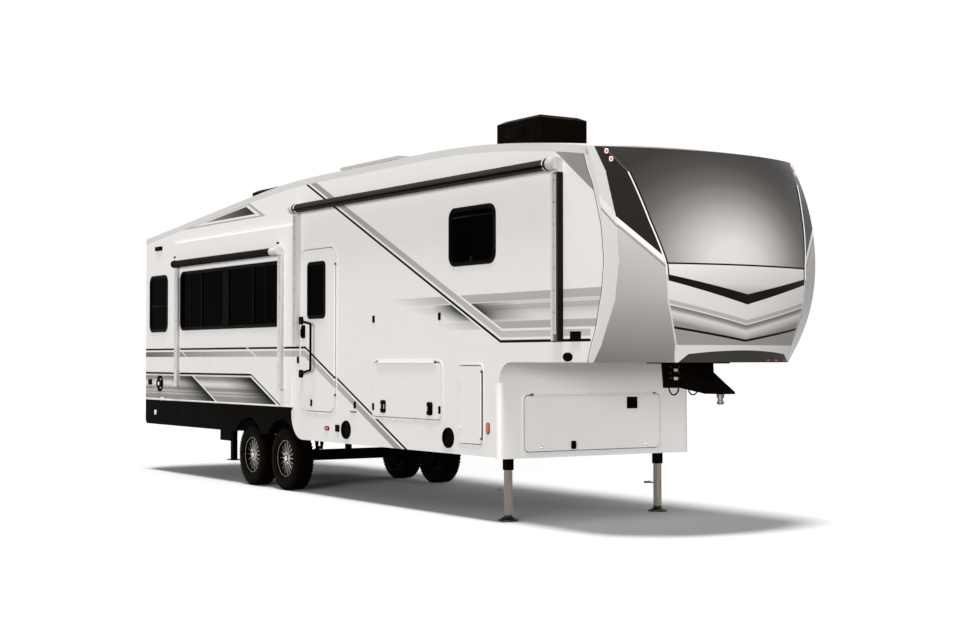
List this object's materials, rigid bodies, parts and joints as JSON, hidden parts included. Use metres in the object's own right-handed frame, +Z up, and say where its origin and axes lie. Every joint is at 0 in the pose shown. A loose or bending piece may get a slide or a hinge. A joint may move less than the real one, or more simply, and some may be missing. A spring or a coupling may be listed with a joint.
{
  "type": "fifth wheel travel trailer",
  "caption": "Long travel trailer with a raised front bedroom, moulded nose, slide-out rooms, opening doors, tandem wheels and landing legs.",
  "frame": {"origin": "on the ground, half way along the trailer and half way across it", "axes": "+X forward to the nose, +Y to the trailer's left, +Z up; the entry door is at -Y"},
  "size_m": [11.7403, 2.762, 4.205],
  "materials": {
    "white_panel": "gloss",
    "white_moulding": "gloss",
    "roof_membrane": "matte",
    "black_panel": "satin",
    "black_plastic": "satin",
    "frame_paint": "satin",
    "floor_board": "matte",
    "belly_sheet": "matte",
    "steel": "satin",
    "aluminium": "satin",
    "dark_glass": "gloss",
    "tyre": "matte",
    "alloy": "machined",
    "awning_fabric": "matte",
    "red_lens": "gloss",
    "solar": "gloss"
  },
  "bodies": {
    "coach": {"frame_rails": "frame_paint", "cross_members": "frame_paint", "floors": "floor_board", "underbelly": "belly_sheet", "partitions": "white_panel", "upper_deck": "white_moulding", "side_wall_right": "white_panel", "side_wall_left": "white_panel", "rear_wall": "white_panel", "roof": "roof_membrane", "nose_cap": "white_moulding", "lower_front_wall": "white_moulding", "skirts": "black_panel", "coach_window_frames": "black_plastic", "coach_window_panes": "dark_glass", "pin_box": "frame_paint", "king_pin": "steel", "axles": "frame_paint", "leaf_springs": "frame_paint", "spring_hangers": "frame_paint", "leg_housings": "frame_paint", "leg_tubes": "steel", "stabiliser_jacks": "frame_paint", "air_conditioners": "black_plastic", "solar_panel": "solar", "roof_vents": "white_moulding", "awning_roller": "awning_fabric", "awning_arms": "aluminium", "rear_bumper": "frame_paint", "rear_ladder": "aluminium", "tail_lamps": "red_lens", "side_fittings": "black_plastic", "slide_rollers": "steel", "hinge_pins": "aluminium"},
    "slide_out_right": {"slide_room_right": "white_panel", "slide_window_frame_right": "black_plastic", "slide_window_pane_right": "dark_glass", "slide_awning_right": "aluminium"},
    "slide_out_left": {"slide_room_left": "white_panel", "slide_window_frame_left": "black_plastic", "slide_window_pane_left": "dark_glass", "slide_awning_left": "aluminium"},
    "entry_door": {"entry_door_leaf": "white_panel", "entry_door_window": "black_plastic", "entry_door_pane": "dark_glass", "entry_grab_handle": "black_plastic"},
    "baggage_hatch_right": {"baggage_door_right": "white_panel"},
    "baggage_hatch_left": {"baggage_door_left": "white_panel"},
    "gas_hatch": {"gas_locker_door": "white_panel"},
    "front_hatch": {"front_baggage_door": "white_moulding"},
    "wheel_front_right": {"tyre_front_right": "tyre", "rim_front_right": "alloy"},
    "wheel_front_left": {"tyre_front_left": "tyre", "rim_front_left": "alloy"},
    "wheel_rear_right": {"tyre_rear_right": "tyre", "rim_rear_right": "alloy"},
    "wheel_rear_left": {"tyre_rear_left": "tyre", "rim_rear_left": "alloy"}
  },
  "joints": [
    {"name": "slide_right_out", "type": "slide", "parent": "coach", "child": "slide_out_right", "axis": [0, -1, 0], "range_m": [0, 0.85]},
    {"name": "slide_left_out", "type": "slide", "parent": "coach", "child": "slide_out_left", "axis": [0, 1, 0], "range_m": [0, 0.85]},
    {"name": "entry_door_hinge", "type": "hinge", "parent": "coach", "child": "entry_door", "pos_m": [0.204, -1.238, 1.965], "axis": [0, 0, 1], "range_deg": [0, 165]},
    {"name": "baggage_right_hinge", "type": "hinge", "parent": "coach", "child": "baggage_hatch_right", "pos_m": [1.825, -1.238, 1.584], "axis": [-1, 0, 0], "range_deg": [0, 170]},
    {"name": "baggage_left_hinge", "type": "hinge", "parent": "coach", "child": "baggage_hatch_left", "pos_m": [1.825, 1.238, 1.584], "axis": [1, 0, 0], "range_deg": [0, 170]},
    {"name": "gas_locker_hinge", "type": "hinge", "parent": "coach", "child": "gas_hatch", "pos_m": [3.324, -1.238, 1.16], "axis": [0, 0, 1], "range_deg": [0, 165]},
    {"name": "front_baggage_hinge", "type": "hinge", "parent": "coach", "child": "front_hatch", "pos_m": [3.638, -0.055, 1.258], "axis": [0, -1, 0], "range_deg": [0, 110]},
    {"name": "wheel_front_right_spin", "type": "hinge", "parent": "coach", "child": "wheel_front_right", "pos_m": [-1.23, -1.066, 0.393], "axis": [0, 1, 0], "continuous": true},
    {"name": "wheel_front_left_spin", "type": "hinge", "parent": "coach", "child": "wheel_front_left", "pos_m": [-1.23, 1.066, 0.393], "axis": [0, 1, 0], "continuous": true},
    {"name": "wheel_rear_right_spin", "type": "hinge", "parent": "coach", "child": "wheel_rear_right", "pos_m": [-2.19, -1.066, 0.393], "axis": [0, 1, 0], "continuous": true},
    {"name": "wheel_rear_left_spin", "type": "hinge", "parent": "coach", "child": "wheel_rear_left", "pos_m": [-2.19, 1.066, 0.393], "axis": [0, 1, 0], "continuous": true}
  ]
}
